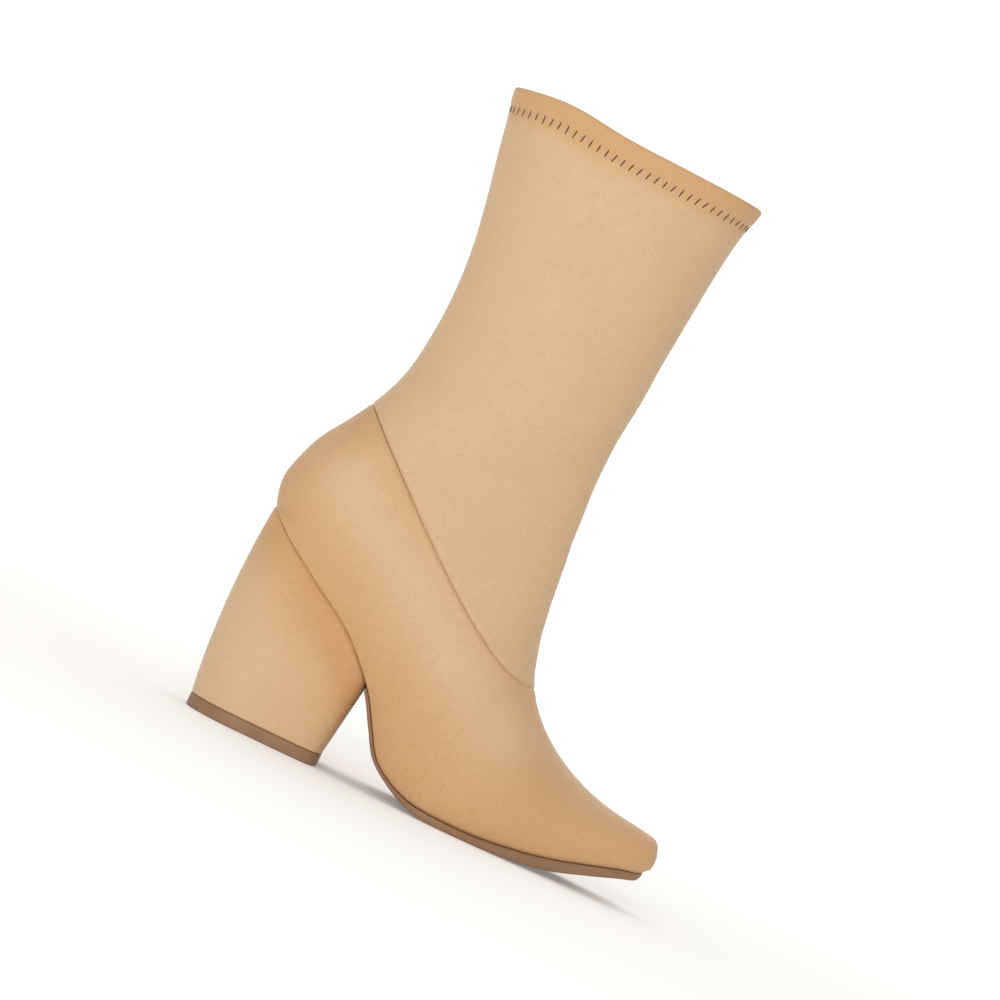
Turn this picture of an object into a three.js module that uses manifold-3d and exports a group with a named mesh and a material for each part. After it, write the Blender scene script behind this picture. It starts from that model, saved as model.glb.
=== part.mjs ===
// A woman's stretch ankle boot on a block heel, the right boot of a pair, in millimetres.
// +X points to the toe, +Y to the inner side of the foot and +Z up. The boot stands on z = 0,
// and the origin is the middle of the heel tip's underside.
import * as THREE from "three";
import { mergeVertices } from "three/addons/utils/BufferGeometryUtils.js";
import Module from "manifold-3d";

const wasm = await Module();
wasm.setup();

// Sizes of the whole boot
const bootLength = 226; // level, from the back of the counter to the tip of the toe
const seatHeight = 99; // floor to the upper's lower edge at the back of the heel
const shaftHeight = 214.5; // from that edge up to the back of the collar
const toeSpring = 15; // rise of the upper's lower edge from the tread to the toe
const ballWidth = 84; // across the upper at the joints of the toes
const counterWidth = 62; // across the upper round the heel of the foot
const instepDepth = 135.5; // from the back of the counter to the front of the ankle
const ankleDepth = 98.5; // front to back at the narrowest part of the shaft
const ankleWidth = 64; // side to side there
const collarDepth = 124.5; // front to back at the collar
const collarWidth = 72; // side to side at the collar

// Sizes of the pieces
const footWall = 1.8; // lasted upper: outer material, backing and lining
const shaftWall = 1.4; // stretch material with its bonded lining
const hemHeight = 11; // the collar's edge is turned in and stitched, so it is two layers thick
const seamGap = 0.3; // groove of the closed seam between foot and shaft
const insoleThickness = 2.6;
const lastingMargin = 9; // what the upper turns in under the insole
const soleThickness = 4;
const toeOverhang = 2.6; // how far the toe of the upper stands out past the outsole
const tipLength = 65; // heel tip, front to back
const tipWidth = 54;
const tipHeight = 6;
const tipChamfer = 0.8;
const heelSetback = 4.3; // from the back of the counter forward to the back of the heel tip
const heelBulge = 2.8; // how far the back of the heel swells between tip and seat
const heelSideBulge = 0.8; // how far its sides swell
const breastLean = 5.5; // how far the front of the heel leans forward from tip to seat
const clearance = 0.3; // glue line between pieces that meet on a curved face

// Roundness of the heel's outline: 2 is an ellipse and more is squarer
const heelFrontRoundness = 6;
const heelBackRoundness = 2.2;

// How finely the curves are faceted
const ringsPerRow = 2;
const sideFacets = 14; // facets of a section on each side of the foot
const heelFacets = 40;
const heelLevels = 8;
const seamFacets = 20;
const beyond = 60; // how far the cutting solids run past the boot

const counterBack = -(heelSetback + tipLength / 2);
const mix = THREE.MathUtils.lerp;

// Sections of the foot, from the toe over the ball, waist and seat to the heel's back corner. Each is cut by
// a plane across the boot, from a point on the upper's lower edge, tilted up and forward, to the instep.
//   along    that point, as a share of bootLength from the back of the counter
//   rise     its height above the tread, as a share of the way up to the seat
//   spring   more height, as a share of toeSpring
//   tilt     degrees of the plane above the level
//   depth    from that point to the instep, as a share of instepDepth
//   ball     how far the width follows ballWidth, and not counterWidth
//   swing    middle of the section towards the inner side, as a share of that width
//   outer    half width on the outer side of the foot, as a share of that width
//   inner    the same on the inner side
//   feather  width of the lower edge, as a share of the full width
//   belly    place of the full width, as a share of the depth
//   low      roundness below it: 2 is an ellipse and more is squarer
//   high     roundness above it
//   sole     thickness of the outsole, as a share of soleThickness
//   edge     width of the outsole, as a share of the lower edge's
const footColumns =
  "along rise spring tilt depth ball swing outer inner feather belly low high sole edge".split(" ");
const footTable = [
  [0.997, 0, 1.2, 90, 0.066, 1, 0.045, 0.085, 0.085, 0.7, 0.46, 2.4, 2.4, 0.85, 1.15],
  [0.979, 0, 1.0, 87.4, 0.117, 1, 0.045, 0.16, 0.16, 0.84, 0.44, 2.6, 2.5, 0.95, 1.06],
  [0.94, 0, 0.87, 85.8, 0.1435, 1, 0.042, 0.225, 0.225, 0.87, 0.42, 2.7, 2.4, 1.1, 1.04],
  [0.871, 0, 0.58, 83.7, 0.191, 1, 0.034, 0.295, 0.295, 0.88, 0.4, 2.8, 2.2, 1.28, 1.03],
  [0.8, 0, 0.3, 81.5, 0.249, 1, 0.024, 0.36, 0.362, 0.885, 0.37, 2.9, 2.05, 1.4, 1.03],
  [0.729, 0, 0.12, 77.6, 0.31, 1, 0.014, 0.422, 0.43, 0.89, 0.34, 3, 1.95, 1.22, 1.03],
  [0.65, 0, 0, 71, 0.379, 1, 0.006, 0.474, 0.484, 0.9, 0.32, 3, 1.9, 1.04, 1.03],
  [0.574, 0, 0, 65.1, 0.4475, 1, 0, 0.5, 0.492, 0.9, 0.3, 2.9, 1.88, 1.02, 1.02],
  [0.508, 0.012, 0, 60.6, 0.5115, 1, -0.004, 0.494, 0.46, 0.87, 0.3, 2.7, 1.86, 0.82, 1],
  [0.452, 0.058, 0, 56.1, 0.555, 0.8, -0.006, 0.491, 0.443, 0.82, 0.31, 2.5, 1.86, 0.55, 0.97],
  [0.408, 0.13, 0, 52, 0.583, 0.6, -0.006, 0.487, 0.438, 0.78, 0.33, 2.4, 1.88, 0.5, 0.94],
  [0.374, 0.254, 0, 48.2, 0.592, 0.4, -0.004, 0.486, 0.446, 0.77, 0.35, 2.35, 1.9, 0.5, 0.92],
  [0.331, 0.41, 0, 41.7, 0.602, 0.2, 0, 0.491, 0.47, 0.79, 0.36, 2.3, 1.92, 0.5, 0.92],
  [0.245, 0.608, 0, 31.2, 0.678, 0, 0, 0.51, 0.502, 0.86, 0.34, 2.4, 1.95, 0.5, 0.92],
  [0.15, 0.752, 0, 25, 0.8035, 0, 0, 0.5, 0.5, 0.9, 0.3, 2.5, 1.98, 0.5, 0.92],
  [0.073, 0.866, 0, 21.2, 0.911, 0, 0, 0.5, 0.5, 0.79, 0.29, 2.4, 2, 0.5, 0.92],
  [0.027, 0.952, 0, 19.4, 0.975, 0, 0, 0.5, 0.5, 0.48, 0.3, 2.3, 2, 0.5, 0.92],
  [0.0106, 1, 0, 18.7, 0.9965, 0, 0, 0.5, 0.5, 0, 0.32, 2.3, 2, 0.5, 0.92],
];

// Sections of the counter and the shaft, on up to the collar.
//   along    the section's back point, as a share of bootLength from the back of the counter
//   up       its height above the seat, as a share of shaftHeight
//   tilt     degrees of the plane above the level
//   ankle    how far depth and width have gone over from the counter's to the ankle's
//   collar   how far they have gone over from the ankle's to the collar's
//   belly, low, high  as in the foot
//   cloth    how far the wall has gone over from footWall to shaftWall
const shaftColumns = "along up tilt ankle collar belly low high cloth".split(" ");
const shaftTable = [
  [0, 0.056, 16.7, 0.0015, 0, 0.35, 2.2, 2, 0],
  [0.012, 0.112, 15.1, 0.118, 0, 0.38, 2.15, 2, 0],
  [0.034, 0.168, 13.9, 0.2875, 0, 0.41, 2.1, 2, 0.3],
  [0.072, 0.229, 12.6, 0.551, 0, 0.44, 2.1, 2.05, 0.7],
  [0.105, 0.29, 10.8, 0.773, 0, 0.46, 2.1, 2.1, 1],
  [0.133, 0.37, 8.2, 0.949, 0, 0.48, 2.1, 2.1, 1],
  [0.147, 0.48, 4.9, 1, 0, 0.5, 2.1, 2.1, 1],
  [0.149, 0.575, 2.8, 1, 0.012, 0.5, 2.1, 2.1, 1],
  [0.1425, 0.665, 1.1, 1, 0.12, 0.5, 2.1, 2.1, 1],
  [0.1274, 0.762, 0.1, 1, 0.317, 0.5, 2.1, 2.1, 1],
  [0.1075, 0.864, -0.5, 1, 0.575, 0.5, 2.1, 2.1, 1],
  [0.095, 0.935, -0.9, 1, 0.775, 0.5, 2.1, 2.1, 1],
  [0.084, 1, -1.2, 1, 1, 0.5, 2.1, 2.1, 1],
];

// The seam between foot and shaft, seen from the side, as the four handles of one curve from the front of the
// instep to the back of the ankle: its place along bootLength, and its height in shares of seatHeight and
// shaftHeight.
const seamColumns = "along seat up".split(" ");
const seamTable = [
  [0.6275, 0.7415, 0],
  [0.524, 0.7415, 0],
  [0.338, 1, 0.0507],
  [0.109, 1, 0.264],
];

const named = (columns, values) => Object.fromEntries(columns.map((name, i) => [name, values[i]]));

// A row of the foot's table in real sizes.
function footSection(values) {
  const row = named(footColumns, values);
  const width = mix(counterWidth, ballWidth, row.ball);
  return {
    x: counterBack + row.along * bootLength,
    z: soleThickness + row.rise * (seatHeight - soleThickness) + row.spring * toeSpring,
    tilt: row.tilt,
    depth: row.depth * instepDepth,
    swing: row.swing * width,
    outer: row.outer * width,
    inner: row.inner * width,
    feather: row.feather,
    belly: row.belly,
    low: row.low,
    high: row.high,
    wall: footWall,
    sole: row.sole * soleThickness,
    edge: row.edge,
  };
}

// A row of the shaft's table in real sizes.
function shaftSection(values) {
  const row = named(shaftColumns, values);
  const width = mix(mix(counterWidth, ankleWidth, row.ankle), collarWidth, row.collar);
  return {
    x: counterBack + row.along * bootLength,
    z: seatHeight + row.up * shaftHeight,
    tilt: row.tilt,
    depth: mix(mix(instepDepth, ankleDepth, row.ankle), collarDepth, row.collar),
    swing: 0,
    outer: width / 2,
    inner: width / 2,
    feather: 0,
    belly: row.belly,
    low: row.low,
    high: row.high,
    wall: mix(footWall, shaftWall, row.cloth),
    sole: 0,
    edge: 0,
  };
}

// The rows joined by one smooth curve for each column, and read again at even steps.
const rows = [...footTable.map(footSection), ...shaftTable.map(shaftSection)];
const columnCurves = Object.keys(rows[0]).map((name) => [
  name,
  new THREE.SplineCurve(rows.map((row, i) => new THREE.Vector2(i, row[name]))),
]);
const ringTotal = (rows.length - 1) * ringsPerRow + 1;
const sections = Array.from({ length: ringTotal }, (_, i) => {
  const read = ([name, curve]) => [name, curve.getPoint(i / (ringTotal - 1)).y];
  const section = Object.fromEntries(columnCurves.map(read));
  section.feather = Math.max(0, section.feather);
  section.toeward = Math.max(0, 1 - i / (ringTotal / 4));
  return section;
});
const heelCorner = (footTable.length - 1) * ringsPerRow;
const footSections = sections.slice(0, heelCorner + 1);

// A mesh with shared vertices, as a solid.
function solid(geometry) {
  const bare = geometry.index ? geometry.toNonIndexed() : geometry.clone();
  bare.deleteAttribute("normal");
  bare.deleteAttribute("uv");
  const merged = mergeVertices(bare, 1e-4);
  return new wasm.Manifold(
    new wasm.Mesh({
      numProp: 3,
      vertProperties: merged.attributes.position.array,
      triVerts: new Uint32Array(merged.index.array),
    }),
  );
}

// A solid through rings of points, closed by a flat fan at each end.
function loft(rings) {
  const count = rings[0].length;
  const centre = (ring) =>
    ring.reduce((sum, p) => sum.add(p), new THREE.Vector3()).divideScalar(count);
  const points = [...rings.flat(), centre(rings[0]), centre(rings.at(-1))];
  const faces = [];
  for (let i = 0; i < count; i++) {
    const next = (i + 1) % count;
    faces.push(rings.length * count, next, i);
    const last = (rings.length - 1) * count;
    faces.push(rings.length * count + 1, last + i, last + next);
    for (let r = 0; r + 1 < rings.length; r++) {
      const here = r * count;
      const above = here + count;
      faces.push(here + i, here + next, above + next);
      faces.push(here + i, above + next, above + i);
    }
  }
  return solid(new THREE.BufferGeometry().setFromPoints(points).setIndex(faces));
}

// A flat outline drawn out to a prism: across the boot, for an outline seen from the side, or upright.
function acrossPrism(points) {
  const prism = new THREE.ExtrudeGeometry(new THREE.Shape(points), {
    depth: 2 * beyond,
    bevelEnabled: false,
  });
  return solid(prism.rotateX(Math.PI / 2).translate(0, beyond, 0));
}

function uprightPrism(points) {
  const prism = new THREE.ExtrudeGeometry(new THREE.Shape(points), {
    depth: seatHeight + 2 * beyond,
    bevelEnabled: false,
  });
  return solid(prism.translate(0, 0, -beyond));
}

// One section of the upper as a ring of points, drawn in by an inset. It starts at the lowest point, goes
// up the outer side and comes down the inner one. Below the lower edge it rounds on, for the underside to
// cut off.
function ring(section, inset) {
  const angle = THREE.MathUtils.degToRad(section.tilt);
  const belly = section.belly * section.depth;
  const reach = (1 - section.feather ** section.low) ** (1 / section.low);
  const lowest = belly - belly / reach + inset;
  const highest = section.depth - inset;
  const points = [];
  for (let i = 0; i < 2 * sideFacets; i++) {
    const turn = Math.PI * (i / sideFacets - 0.5);
    const across = Math.cos(turn);
    const up = Math.sin(turn);
    const isOuter = i <= sideFacets;
    const round = up < 0 ? section.low : section.high;
    const half = (isOuter ? section.outer : section.inner) - inset;
    const side = Math.sign(across) * half * Math.abs(across) ** (2 / round);
    const end = up < 0 ? lowest : highest;
    const along = belly + (end - belly) * Math.abs(up) ** (2 / round);
    points.push(
      new THREE.Vector3(
        section.x + along * Math.cos(angle) - inset * section.toeward,
        section.swing - side,
        section.z + along * Math.sin(angle),
      ),
    );
  }
  return points;
}

// The upper's form drawn in by an inset, read for each section, and carried on past the collar by some
// height.
function lastForm(insetOf, past) {
  const rings = sections.map((section) => ring(section, insetOf(section)));
  if (past) rings.push(rings.at(-1).map((p) => p.clone().setZ(p.z + past)));
  return loft(rings);
}

// The upper's lower edge seen from the side, from the toe to the heel's back corner.
const edgeLine = footSections.map((section) => new THREE.Vector2(section.x, section.z));

// Height of that edge at a place along the boot.
function edgeHeight(x) {
  const after = edgeLine.findIndex((p) => p.x <= x);
  const [from, to] = [edgeLine[after - 1], edgeLine[after]];
  return mix(from.y, to.y, (from.x - x) / (from.x - to.x));
}

// A line that runs towards the heel, moved to its upper side by a distance for each point.
function moved(line, distanceAt) {
  return line.map((point, i) => {
    const before = line[Math.max(i - 1, 0)];
    const way = new THREE.Vector2().subVectors(line[Math.min(i + 1, line.length - 1)], before);
    const normal = new THREE.Vector2(way.y, -way.x).normalize();
    return point.clone().addScaledVector(normal, distanceAt(i));
  });
}

// All that lies above such a line, across the whole boot. The line runs straight on past both its ends.
function above(line, distanceAt) {
  const points = moved(line, distanceAt);
  const onward = (end, before) =>
    end.clone().addScaledVector(new THREE.Vector2().subVectors(end, before).normalize(), beyond);
  const first = onward(points[0], points[1]);
  const last = onward(points.at(-1), points.at(-2));
  const top = seatHeight + shaftHeight + beyond;
  return acrossPrism([
    first,
    ...points,
    last,
    new THREE.Vector2(last.x, top),
    new THREE.Vector2(first.x, top),
  ]);
}
const aboveUnderside = (distance) => above(edgeLine, () => distance);
const layer = (from, to) => aboveUnderside(from).subtract(aboveUnderside(to));

// Outline of the lower edge seen from above, with a share of its width at each section.
function planOutline(shareOf, shiftOf) {
  const side = (sign, name) => (section) =>
    new THREE.Vector2(
      section.x - shiftOf(section),
      section.swing + sign * section[name] * section.feather * shareOf(section),
    );
  const inner = footSections.slice(0, -1).map(side(1, "inner"));
  const outer = footSections.map(side(-1, "outer")).reverse();
  return [...inner, ...outer];
}

// The opening that the upper leaves underneath, inside its lasting margin, drawn in by some more.
function openingPrism(inset) {
  const margin = lastingMargin + inset;
  const middle = (edgeLine[0].x + edgeLine.at(-1).x) / 2;
  const share = 1 - (2 * margin) / (edgeLine[0].x - edgeLine.at(-1).x);
  const width = 1 - (2 * margin) / ballWidth;
  const drawnIn = ({ x, y }) => new THREE.Vector2(middle + (x - middle) * share, y * width);
  return uprightPrism(planOutline(() => 1, () => 0).map(drawnIn));
}

// The wall of the whole upper: its form less the room inside, open at the collar and underneath.
function upperWall() {
  const form = lastForm(() => 0, 0).intersect(aboveUnderside(0));
  const hemTop = seatHeight + shaftHeight - hemHeight;
  const belowHem = above([new THREE.Vector2(beyond, hemTop), new THREE.Vector2(-beyond, hemTop)], () => 0);
  const room = lastForm((section) => section.wall, hemHeight).subtract(belowHem);
  const roomInHem = lastForm((section) => 2 * section.wall, hemHeight);
  const inside = room.add(roomInHem).intersect(aboveUnderside(footWall));
  const opening = openingPrism(0).intersect(layer(-footWall, 2 * footWall));
  return form.subtract(inside).subtract(opening);
}

// The seam's line, running back from the front of the instep.
function seamLine() {
  const handles = seamTable.map((values) => {
    const row = named(seamColumns, values);
    return new THREE.Vector2(
      counterBack + row.along * bootLength,
      row.seat * seatHeight + row.up * shaftHeight,
    );
  });
  return new THREE.CubicBezierCurve(...handles).getPoints(seamFacets);
}

// The insole follows the last inside the upper, and its board fills the opening in the lasting margin.
function insoleSolid() {
  const under = footWall + clearance;
  const room = lastForm(() => under, 0);
  const plate = room.intersect(layer(under, under + insoleThickness));
  const board = openingPrism(clearance).intersect(layer(0, under + insoleThickness / 2));
  return plate.add(board);
}

// Where the heel's front meets the lower edge.
function breastTop() {
  const x = tipLength / 2 + breastLean;
  return new THREE.Vector2(x, edgeHeight(x));
}

// The outsole runs from the toe to the front of the heel, and is flat where it treads.
function outsoleSolid() {
  const outline = planOutline((section) => section.edge, (section) => toeOverhang * section.toeward);
  const top = above(edgeLine, () => -clearance);
  const bottom = above(edgeLine, (i) => -footSections[i].sole);
  const start = breastTop().x + clearance;
  const ahead = acrossPrism([
    new THREE.Vector2(start, 0),
    new THREE.Vector2(bootLength, 0),
    new THREE.Vector2(bootLength, seatHeight),
    new THREE.Vector2(start, seatHeight),
  ]);
  return uprightPrism(outline).intersect(bottom).subtract(top).intersect(ahead);
}

// Level outline of the heel at a height: round at the back, straight at the sides, flat with round corners
// in front, and drawn in by an inset.
function heelRing(height, inset) {
  const share = (height - tipHeight) / (seatHeight - tipHeight);
  const swell = Math.max(0, 4 * share * (1 - share));
  const seatHalf = Math.max(...footSections.slice(-4 * ringsPerRow).map((s) => s.outer * s.feather));
  const half = mix(tipWidth / 2, seatHalf - clearance, share) + heelSideBulge * swell - inset;
  const back = mix(-tipLength / 2, edgeLine.at(-1).x + clearance, share) - heelBulge * swell + inset;
  const lean = (height - tipHeight) / (breastTop().y - tipHeight);
  const front = tipLength / 2 + breastLean * lean - inset;
  const middle = back + half;
  const points = [];
  for (let i = 0; i < heelFacets; i++) {
    const turn = (2 * Math.PI * (i + 0.5)) / heelFacets;
    const [forward, sideways] = [Math.cos(turn), Math.sin(turn)];
    const round = forward > 0 ? heelFrontRoundness : heelBackRoundness;
    const reach = forward > 0 ? front - middle : middle - back;
    points.push(
      new THREE.Vector3(
        middle + Math.sign(forward) * reach * Math.abs(forward) ** (2 / round),
        Math.sign(sideways) * half * Math.abs(sideways) ** (2 / round),
        height,
      ),
    );
  }
  return points;
}

function heelSolid() {
  const top = seatHeight + tipHeight;
  const rings = Array.from({ length: heelLevels }, (_, i) =>
    heelRing(mix(tipHeight, top, i / (heelLevels - 1)), 0),
  );
  return loft(rings).subtract(aboveUnderside(-clearance));
}

function heelTipSolid() {
  const joint = heelRing(tipHeight, 0);
  const low = joint.map((p) => p.clone().setZ(tipChamfer));
  const foot = heelRing(tipHeight, tipChamfer).map((p) => p.clone().setZ(0));
  return loft([foot, low, joint]);
}

// A solid as a named mesh in its own material.
function mesh(name, made, colour, roughness) {
  const { vertProperties, triVerts } = made.getMesh();
  const geometry = new THREE.BufferGeometry()
    .setAttribute("position", new THREE.BufferAttribute(vertProperties, 3))
    .setIndex(new THREE.BufferAttribute(triVerts, 1));
  geometry.computeVertexNormals();
  const material = new THREE.MeshStandardMaterial({ color: colour, roughness, metalness: 0 });
  const part = new THREE.Mesh(geometry, material);
  part.name = name;
  return part;
}

const tan = "#dcb48a"; // camel stretch leather of the upper and the heel cover
const brown = "#9b7353"; // rubber of the sole and the heel tip
const sock = "#c9a27a"; // lining of the insole

const wall = upperWall();
const seam = seamLine();
const boot = new THREE.Group();
boot.add(
  mesh("upper", wall.subtract(above(seam, () => -seamGap / 2)), tan, 0.55),
  mesh("shaft", wall.intersect(above(seam, () => seamGap / 2)), tan, 0.6),
  mesh("insole", insoleSolid(), sock, 0.7),
  mesh("outsole", outsoleSolid(), brown, 0.6),
  mesh("heel", heelSolid(), tan, 0.55),
  mesh("heel_tip", heelTipSolid(), brown, 0.6),
);

export default boot;
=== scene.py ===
"""A tan stretch ankle boot on a block heel, the right boot of a pair, on a pale floor.

The boot is made the way it is put together: the lasted foot, the stretch shaft with its hem,
the insole, the outsole, the covered heel and the heel tip. Sizes are in millimetres and
become metres as points are placed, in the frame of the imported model: +X to the toe, +Y to the
inner side, +Z up, with the origin under the heel tip.
"""

import math
import random

import bpy
import numpy as np
from mathutils import Matrix, Vector


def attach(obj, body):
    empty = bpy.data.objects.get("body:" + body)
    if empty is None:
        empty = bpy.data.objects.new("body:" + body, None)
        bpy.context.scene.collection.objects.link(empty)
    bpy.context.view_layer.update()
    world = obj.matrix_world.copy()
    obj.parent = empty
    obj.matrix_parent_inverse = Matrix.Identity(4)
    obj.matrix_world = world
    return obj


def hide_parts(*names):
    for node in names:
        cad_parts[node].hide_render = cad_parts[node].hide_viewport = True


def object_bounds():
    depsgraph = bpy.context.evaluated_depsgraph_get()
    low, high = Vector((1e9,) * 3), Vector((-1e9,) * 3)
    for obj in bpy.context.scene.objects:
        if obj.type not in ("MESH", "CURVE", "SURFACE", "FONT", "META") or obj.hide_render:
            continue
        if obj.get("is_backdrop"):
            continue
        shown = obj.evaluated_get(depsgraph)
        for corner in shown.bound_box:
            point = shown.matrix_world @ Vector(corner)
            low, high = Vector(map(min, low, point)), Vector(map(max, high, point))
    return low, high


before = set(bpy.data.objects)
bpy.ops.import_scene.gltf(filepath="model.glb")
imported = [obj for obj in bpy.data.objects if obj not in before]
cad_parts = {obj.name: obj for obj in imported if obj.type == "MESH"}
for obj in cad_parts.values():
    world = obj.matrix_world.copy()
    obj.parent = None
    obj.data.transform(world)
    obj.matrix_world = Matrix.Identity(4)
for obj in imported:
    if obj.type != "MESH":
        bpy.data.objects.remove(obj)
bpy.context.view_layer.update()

MM = 0.001

# Camera, light and floor
# The boot is seen level with its outer side, from a little above its middle. The picture is
# turned by 25.5 degrees, so that the heel and toe run down to the right, as in the drawing.
LEAN = math.radians(25.5)
LOOK_DOWN = math.radians(0.8)
VIEW_CENTRE = Vector((55.8, 0, 143.2)) * MM
VIEW_WIDTH = 450 * MM  # what the frame is wide at the boot's middle
VIEW_DISTANCE = 2.4

level_right = Vector((1, 0, 0))
level_up = Vector((0, math.sin(LOOK_DOWN), math.cos(LOOK_DOWN)))
camera_right = math.cos(LEAN) * level_right + math.sin(LEAN) * level_up
camera_up = math.cos(LEAN) * level_up - math.sin(LEAN) * level_right
camera_back = camera_right.cross(camera_up)
camera_place = VIEW_CENTRE + VIEW_DISTANCE * camera_back

bpy.ops.object.select_all(action="DESELECT")
bpy.ops.object.camera_add(location=camera_place)
camera = bpy.context.object
camera.name = "camera"
turned = Matrix((camera_right, camera_up, camera_back)).transposed()
camera.rotation_euler = turned.to_euler()
camera.data.sensor_width = 36
camera.data.lens = 36 * VIEW_DISTANCE / VIEW_WIDTH
camera.data.clip_end = 50
bpy.context.scene.camera = camera
bpy.context.scene.view_settings.view_transform = "Standard"


def linear(code):
    """An sRGB hex colour as linear red, green, blue and alpha."""
    values = [int(code[i : i + 2], 16) / 255 for i in (1, 3, 5)]
    flat = [v / 12.92 if v <= 0.04045 else ((v + 0.055) / 1.055) ** 2.4 for v in values]
    return (*flat, 1.0)


def add_node(tree, kind, settings=None, **inputs):
    """Adds a node. An input, called by its name or by i and its number, is a value or a socket."""
    node = tree.nodes.new(kind)
    for name, value in (settings or {}).items():
        setattr(node, name, value)
    for name, value in inputs.items():
        by_number = name[1:].isdigit()
        socket = node.inputs[int(name[1:]) if by_number else name.replace("_", " ")]
        if isinstance(value, bpy.types.NodeSocket):
            tree.links.new(value, socket)
        else:
            socket.default_value = value
    return node


def new_material(name):
    """An empty material with its output, the node tree and the output's surface socket."""
    made = bpy.data.materials.new(name)
    made.use_nodes = True
    made.node_tree.nodes.clear()
    output = made.node_tree.nodes.new("ShaderNodeOutputMaterial")
    return made, made.node_tree, output.inputs["Surface"]


# A white seamless paper sweep: matt, and so evenly lit that it has no horizon.
studio_paper, tree, surface = new_material("studio paper")
paper = add_node(tree, "ShaderNodeBsdfDiffuse", Color=linear("#f4f3f1"))
glow = add_node(tree, "ShaderNodeEmission", Color=linear("#ffffff"), Strength=0.16)
both = add_node(tree, "ShaderNodeAddShader", i0=paper.outputs[0], i1=glow.outputs[0])
tree.links.new(both.outputs[0], surface)

bpy.ops.object.select_all(action="DESELECT")
bpy.ops.mesh.primitive_plane_add(size=8, location=(0, 0, 0))
floor = bpy.context.object
floor.name = "studio_sweep"
bpy.ops.object.mode_set(mode="EDIT")
bpy.ops.mesh.select_all(action="DESELECT")
bpy.ops.object.mode_set(mode="OBJECT")
for edge in floor.data.edges:
    edge.select = all(floor.data.vertices[i].co.y > 0 for i in edge.vertices)
bpy.ops.object.mode_set(mode="EDIT")
bpy.ops.mesh.extrude_region_move(TRANSFORM_OT_translate={"value": (0, 0, 5)})
bpy.ops.object.mode_set(mode="OBJECT")
bend = floor.modifiers.new("bend", "BEVEL")
bend.width = 2.2
bend.segments = 40
bend.limit_method = "ANGLE"
bpy.ops.object.modifier_apply(modifier="bend")
bpy.ops.object.shade_smooth()
floor.data.materials.append(studio_paper)
floor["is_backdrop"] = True

world = bpy.data.worlds.new("studio")
bpy.context.scene.world = world
world.use_nodes = True
world.node_tree.nodes["Background"].inputs["Color"].default_value = linear("#ffffff")
world.node_tree.nodes["Background"].inputs["Strength"].default_value = 0.54

for name, place, aim, size, power in [
    ("key_light", (-0.2, -1.9, 0.58), (0.05, 0, 0.13), 1.0, 16.2),
    ("top_light", (0.1, 0.3, 2.2), (0.05, 0, 0.1), 2.2, 11),
    ("backdrop_light", (0.0, 1.6, 2.6), (0.0, 4.0, 1.2), 2.0, 70),
]:
    bpy.ops.object.light_add(type="AREA", location=place)
    lamp = bpy.context.object
    lamp.name = name
    lamp.data.size = size
    lamp.data.energy = power
    lamp.rotation_euler = (Vector(aim) - Vector(place)).to_track_quat("-Z", "Y").to_euler()


# Foot
# The lasted foot of the boot: stretch leather, backed and pulled over the last, with its
# margin turned in under the insole. Its form is a run of sections from the toe over the ball,
# waist and seat to the heel, each on a plane tilted up and forward, with the shaft's sections above.
BOOT_LENGTH = 226
SEAT_HEIGHT = 99
SHAFT_HEIGHT = 214.5
TOE_SPRING = 15
BALL_WIDTH = 84
COUNTER_WIDTH = 62
INSTEP_DEPTH = 135.5
ANKLE_DEPTH, ANKLE_WIDTH = 98.5, 64
COLLAR_DEPTH, COLLAR_WIDTH = 124.5, 72
SOLE_THICKNESS = 4
TIP_LENGTH, TIP_WIDTH, TIP_HEIGHT = 65, 54, 6
HEEL_SETBACK = 4.3
FOOT_WALL = 1.8
SHAFT_WALL = 1.4
COUNTER_BACK = -(HEEL_SETBACK + TIP_LENGTH / 2)

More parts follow.
